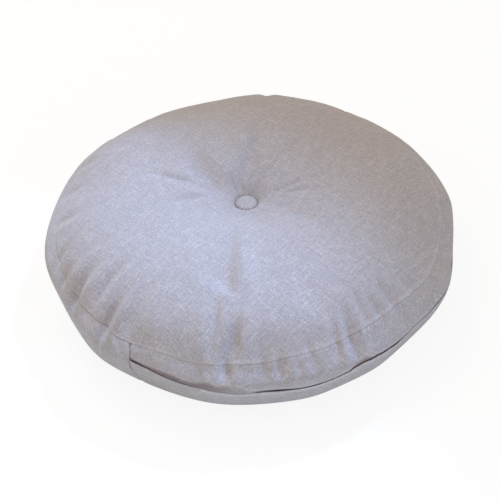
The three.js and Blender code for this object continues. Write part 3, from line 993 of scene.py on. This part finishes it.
def linen_material(name, bias, looks):
    """Linen whose threads run at bias degrees to the piece's own cloth map."""
    material = bpy.data.materials.get(name)
    if material:
        return material
    material = bpy.data.materials.new(name)
    graph = cleared(material)
    uv = graph.add("ShaderNodeUVMap", uv_map="cloth")
    cloth = graph.add("ShaderNodeMapping", {"Vector": uv, "Rotation": (0, 0, math.radians(bias))})
    inputs = {"Cloth": cloth, "Pitch": looks.thread_pitch, "Run": looks.slub_length}
    weave = graph.node("ShaderNodeGroup", inputs, node_tree=weave_group())
    threads, slubs, height = graph.outputs(weave, *WEAVE_OUTPUTS)

    # Slow mottling of the dye, in tone and in tint, and the grain of the single fibres.
    mottle = graph.noise(cloth, scale=60.0, detail=3.0, roughness=0.6)
    grain = graph.noise(cloth, scale=430.0, detail=1.0, roughness=0.6)
    aside = graph.add("ShaderNodeVectorMath", {0: cloth, 1: (5.3, 5.3, 5.3)}, operation="ADD")
    hue = graph.noise(aside, scale=110.0, detail=3.0, roughness=0.7)
    tone = (threads - 0.5) * looks.thread_contrast + (mottle - 0.5) * 0.10 + (grain - 0.5) * looks.grain
    # The kept value adds the painted highlights on the slit's edges and the paler line beside the top seam.
    # The weave is lighter where it stands high and darker where it lies low between the threads: painted
    # light and shade of its relief.
    tone = tone + 1.0 + (height * 0.24 - 0.10) + graph.kept("wear") * looks.edge_wear
    grey = graph.add("ShaderNodeCombineColor", {0: tone, 1: tone, 2: tone})
    dye = graph.mix_color(graph.ramp(hue, 0.3, 0.7), looks.linen_color, looks.linen_tint)
    dyed = graph.mix_color(1.0, dye, grey, blend="MULTIPLY")
    color = graph.mix_color(slubs * looks.slub_strength, dyed, looks.slub_color)
    # Where the cloth rolls into the slit it is darkened towards shade_color: painted shade.
    shaded = graph.mix_color(1.0, color, looks.shade_color, blend="MULTIPLY")
    color = graph.mix_color(graph.kept("shade"), color, shaded)
    relief = {"Strength": looks.weave_relief, "Distance": 0.0005, "Height": height}
    bump = graph.add("ShaderNodeBump", relief)
    shader = graph.add("ShaderNodeBsdfPrincipled", {**LINEN_SHEEN, "Base Color": color, "Normal": bump})
    graph.node("ShaderNodeOutputMaterial", {"Surface": shader})
    return material


# ---------------------------------------------------------------- the stage


# The floor as the light meets it, and as the camera sees it: its colour and its own glow.
FLOOR_LIT = (0.93, 0.95, 0.89, 1)
FLOOR_SEEN = (0.17, 0.175, 0.185, 1)
FLOOR_GLOW = 0.86
FLOOR_DROP = 0.4 * MM


def direction(azimuth, elevation):
    """A unit vector towards an azimuth and elevation in degrees."""
    a, e = math.radians(azimuth), math.radians(elevation)
    return Vector((math.sin(a) * math.cos(e), -math.cos(a) * math.cos(e), math.sin(e)))


def end_graph(graph, lit, seen, output):
    """Ends a graph in one shader for the light to meet and another for the camera to see."""
    camera = graph.add("ShaderNodeLightPath", None, "Is Camera Ray")
    graph.node(output, {"Surface": graph.add("ShaderNodeMixShader", {0: camera, 1: lit, 2: seen})})


class BuildStage(bpy.types.Operator):
    """Make the floor, the soft lights, the pale surroundings and the camera"""

    bl_idname = "pouf.stage"
    bl_label = "Stage"

    def execute(self, context):
        stage = context.scene.pouf_stage
        self.floor(stage)
        self.surroundings(context, stage)
        self.cool_light(stage)
        self.disk("warm_light", stage.warm_azimuth, stage.warm_elevation, stage.warm_power,
                  stage.warm_color, stage)
        for name, azimuth, power in (("right_light", stage.side_azimuth, stage.side_power),
                                     ("left_light", stage.left_azimuth, stage.left_power)):
            self.disk(name, azimuth, stage.side_elevation, power, stage.cool_color, stage)
        self.camera(context, stage)
        context.scene.view_settings.view_transform = "Standard"
        return {"FINISHED"}

    def floor(self, stage):
        deselect_all()
        bpy.ops.mesh.primitive_plane_add(size=stage.floor_size, location=(0, 0, -FLOOR_DROP))
        floor = bpy.context.object
        floor.name = "floor"
        bpy.ops.object.transform_apply(location=True, rotation=True, scale=True)
        material = bpy.data.materials.new("pale_floor")
        graph = cleared(material)
        lit = graph.add("ShaderNodeBsdfDiffuse", {"Color": FLOOR_LIT})
        seen = graph.add("ShaderNodeBsdfDiffuse", {"Color": FLOOR_SEEN})
        glow = graph.add("ShaderNodeEmission", {"Strength": FLOOR_GLOW})
        both = graph.add("ShaderNodeAddShader", {0: seen, 1: glow})
        end_graph(graph, lit, both, "ShaderNodeOutputMaterial")
        floor.data.materials.append(material)

    def surroundings(self, context, stage):
        world = bpy.data.worlds.new("surroundings")
        context.scene.world = world
        graph = cleared(world)
        glow = {"Color": (*stage.air_color, 1), "Strength": stage.air_strength}
        air = graph.add("ShaderNodeBackground", glow)
        white = graph.add("ShaderNodeBackground", {"Color": (1, 1, 1, 1)})
        end_graph(graph, air, white, "ShaderNodeOutputWorld")

    def hang(self, name, kind, azimuth, elevation, distance, power, color):
        """A lamp at an azimuth and elevation round the pouf, turned towards it."""
        lamp = linked(name, bpy.data.lights.new(name, kind))
        away = direction(azimuth, elevation)
        lamp.location = Vector((AXIS_X, AXIS_Y, CROWN_HEIGHT)) + away * distance
        lamp.rotation_mode = "QUATERNION"
        lamp.rotation_quaternion = away.to_track_quat("Z", "Y")
        lamp.data.energy = power
        lamp.data.color = color
        return lamp

    def disk(self, name, azimuth, elevation, power, color, stage):
        """A wide soft light."""
        lamp = self.hang(name, "AREA", azimuth, elevation, stage.warm_distance, power, color)
        lamp.data.shape = "DISK"
        lamp.data.size = stage.warm_size

    def cool_light(self, stage):
        """A soft spot from behind, whose edge fades out across the back of the pouf."""
        lamp = self.hang("cool_light", "SPOT", stage.cool_azimuth, stage.cool_elevation,
                         stage.cool_distance, stage.cool_power, stage.cool_color)
        across = direction(stage.edge_azimuth, 0)
        middle = Vector((AXIS_X, AXIS_Y, CROWN_HEIGHT))
        axis = middle - across * stage.edge_reach - lamp.location
        outer = middle + across * (stage.edge_offset + stage.edge_width / 2) - lamp.location
        inner = middle + across * (stage.edge_offset - stage.edge_width / 2) - lamp.location
        half = axis.angle(outer)
        lamp.rotation_quaternion = (-axis).to_track_quat("Z", "Y")
        lamp.data.spot_size = 2 * half
        lamp.data.spot_blend = (math.cos(axis.angle(inner)) - math.cos(half)) / (1 - math.cos(half))
        lamp.data.shadow_soft_size = stage.cool_size / 2

    def camera(self, context, stage):
        data = bpy.data.cameras.new("camera")
        camera = linked("camera", data)
        data.sensor_width = 36
        data.lens = stage.lens
        back = direction(0, math.degrees(stage.camera_elevation))
        right = Vector((1, 0, 0))
        up = back.cross(right)
        roll = stage.camera_roll
        turned_right = right * math.cos(roll) - up * math.sin(roll)
        turned_up = right * math.sin(roll) + up * math.cos(roll)
        target = Vector((AXIS_X - 0.004 * BULGE_RADIUS, AXIS_Y, stage.target_height))
        place_matrix = Matrix((turned_right, turned_up, back)).transposed().to_4x4()
        place_matrix.translation = target + back * stage.camera_distance
        camera.matrix_world = place_matrix
        data.clip_start, data.clip_end = 0.01, 50
        context.scene.camera = camera


# ---------------------------------------------------------------- settings, panel and start


def number(name, description, default, **more):
    return bpy.props.FloatProperty(name=name, description=description, default=default, **more)


def metres(name, description, default):
    return number(name, description, default, unit="LENGTH")


def factor(name, description, default):
    return number(name, description, default, subtype="FACTOR")


def bearing(name, default, description="Degrees round the pouf from the front"):
    return number(name, description, default)


def height_over_floor(name, default):
    return bearing(name, default, "Degrees over the floor")


def tint(name, description, *default):
    return bpy.props.FloatVectorProperty(
        name=name, description=description, subtype="COLOR", size=len(default), default=default)


class PoufSizes(bpy.types.PropertyGroup):
    columns: bpy.props.IntProperty(
        name="Columns", description="Steps of the cloth round the pouf", default=600, min=96)
    fold_scale: number("Folds", "Depth of the folds against the table's", 1.0, min=0)
    pucker_scale: number("Puckers", "Depth of the small puckers across the seams", 1.0, min=0)
    lump_height: metres("Filling", "Unevenness of the filling", 0.9 * MM)
    fill_pressure: number("Fill Pressure", "Pressure of the simulated filling", 0.6, min=0)
    fill_share: number("Fill Share", "Share of the simulated unevenness that is kept", 0.35, min=0)
    fill_limit: metres("Fill Limit", "The most the simulation moves the cloth", 1.6 * MM)
    seam_scale: number("Seams", "Depth of the seams against the table's", 1.0, min=0)
    seam_round: metres("Seam Roundness", "Distance over which the cloth turns in at a seam", 0.9 * MM)
    strip_thickness: metres("Strip Thickness", "Thickness of the side strips", 1.6 * MM)
    clearance: metres("Clearance", "Space between the strips and the cushion", 0.5 * MM)
    tuck_length: metres("Tuck", "Overlap of the upper strip behind the lower", 6 * MM)
    fold_stand: metres("Fold Stand", "How far the lower strip's fold stands out", 0.6 * MM)
    fold_thickness: metres("Fold Thickness", "Extra cloth in the lower strip's fold", 0.4 * MM)
    tuft_swell: metres("Tuft Swell", "How far it swells up in front of the button", 4.8 * MM)


class PoufLooks(bpy.types.PropertyGroup):
    linen_color: tint("Linen", "Colour of the linen", 0.475, 0.44, 0.475, 1.0)
    linen_tint: tint("Tint", "Colour the linen drifts towards in patches", 0.445, 0.44, 0.485, 1.0)
    slub_color: tint("Slubs", "Colour of the thicker pale threads", 0.66, 0.64, 0.68, 1.0)
    slub_strength: factor("Slub Strength", "How far the slubs stand out", 0.06)
    shade_color: tint("Shade", "Multiplies the linen where it rolls into the slit", 0.46, 0.37, 0.36, 1.0)
    slub_length: metres("Slub Length", "Length of a slub", 16 * MM)
    thread_pitch: metres("Thread Pitch", "Spacing of the threads", 1.25 * MM)
    thread_contrast: number("Thread Contrast", "Unevenness of tone from thread to thread", 0.6)
    grain: number("Grain", "Unevenness of tone from fibre to fibre", 0.72)
    weave_relief: factor("Weave Relief", "Strength of the weave's relief", 0.5)
    # Strength of the painted highlights on the slit's edges and of the paler line beside the top seam.
    edge_wear: factor("Edge Highlight And Paling", "Paling of folded edges", 0.3)


class PoufStage(bpy.types.PropertyGroup):
    floor_size: metres("Floor", "Width of the floor", 12.0)
    air_color: tint("Air Colour", "Colour of the light from all round", 1.0, 0.88, 0.70)
    air_strength: number("Air Strength", "Strength of the light from all round", 0.57)
    warm_azimuth: bearing("Warm Azimuth", -138)
    warm_elevation: height_over_floor("Warm Elevation", 60)
    warm_distance: metres("Warm Distance", "From the pouf to the warm and side lights", 2.0)
    warm_size: metres("Warm Size", "Width of the warm and side lights", 1.0)
    warm_power: number("Warm Power", "Power of the warm light in watts", 9.5)
    warm_color: tint("Warm Colour", "Colour of the warm light", 1.0, 0.85, 0.69)
    side_azimuth: bearing("Side Azimuth", 40)
    side_elevation: height_over_floor("Side Elevation", 20)
    side_power: number("Side Power", "Power of the faint cool light from the side in watts", 9.0)
    left_azimuth: bearing("Left Azimuth", -96)
    left_power: number("Left Power", "Power of the faint cool light from the left in watts", 5.5)
    cool_azimuth: bearing("Cool Azimuth", 142)
    cool_elevation: height_over_floor("Cool Elevation", 49)
    cool_distance: metres("Cool Distance", "From the pouf to the cool light", 2.0)
    cool_size: metres("Cool Size", "Width of the cool light", 0.12)
    cool_power: number("Cool Power", "Power of the cool light in watts", 197)
    cool_color: tint("Cool Colour", "Colour of the cool light", 0.41, 0.62, 1.0)
    edge_azimuth: bearing("Edge Azimuth", 138.5, "Side on which the cool light fades out, in degrees")
    edge_offset: metres("Edge Offset", "From the middle to where it has half faded", 8 * MM)
    edge_width: metres("Edge Width", "Distance over which it fades out", 250 * MM)
    edge_reach: metres("Edge Reach", "From the middle to the centre of the cool light's patch", 1.6)
    camera_elevation: number("Camera Elevation", "Angle of the camera over the floor",
                             math.radians(45.9), subtype="ANGLE")
    camera_roll: number("Camera Roll", "How far the camera leans right", math.radians(4.0), subtype="ANGLE")
    camera_distance: metres("Camera Distance", "From the camera to its target", 5 * BULGE_RADIUS)
    target_height: metres("Target Height", "Height of the point looked at", 0.0855 * BULGE_RADIUS)
    lens: number("Lens", "Focal length", 71.1, unit="CAMERA")


STEPS = (BuildCushion, BuildPlainStrip, BuildPlacket, BuildButton, BuildStage)


class PoufPanel(bpy.types.Panel):
    bl_idname = "VIEW3D_PT_linen_pouf"
    bl_label = "Linen Pouf"
    bl_space_type = "VIEW_3D"
    bl_region_type = "UI"
    bl_category = "Linen Pouf"

    def draw(self, context):
        for step in STEPS:
            self.layout.operator(step.bl_idname)
        for settings in (context.scene.pouf_sizes, context.scene.pouf_looks, context.scene.pouf_stage):
            box = self.layout.box()
            for name in settings.__annotations__:
                box.prop(settings, name)


CLASSES = (PoufSizes, PoufLooks, PoufStage, *STEPS, PoufPanel)


def register():
    for kind in CLASSES:
        bpy.utils.register_class(kind)
    bpy.types.Scene.pouf_sizes = bpy.props.PointerProperty(type=PoufSizes)
    bpy.types.Scene.pouf_looks = bpy.props.PointerProperty(type=PoufLooks)
    bpy.types.Scene.pouf_stage = bpy.props.PointerProperty(type=PoufStage)


def unregister():
    del bpy.types.Scene.pouf_sizes
    del bpy.types.Scene.pouf_looks
    del bpy.types.Scene.pouf_stage
    for kind in reversed(CLASSES):
        bpy.utils.unregister_class(kind)


def main():
    register()
    bpy.ops.pouf.cushion()
    bpy.ops.pouf.plain_strip()
    bpy.ops.pouf.placket()
    bpy.ops.pouf.button()
    bpy.ops.pouf.stage()


if __name__ == "__main__":
    main()
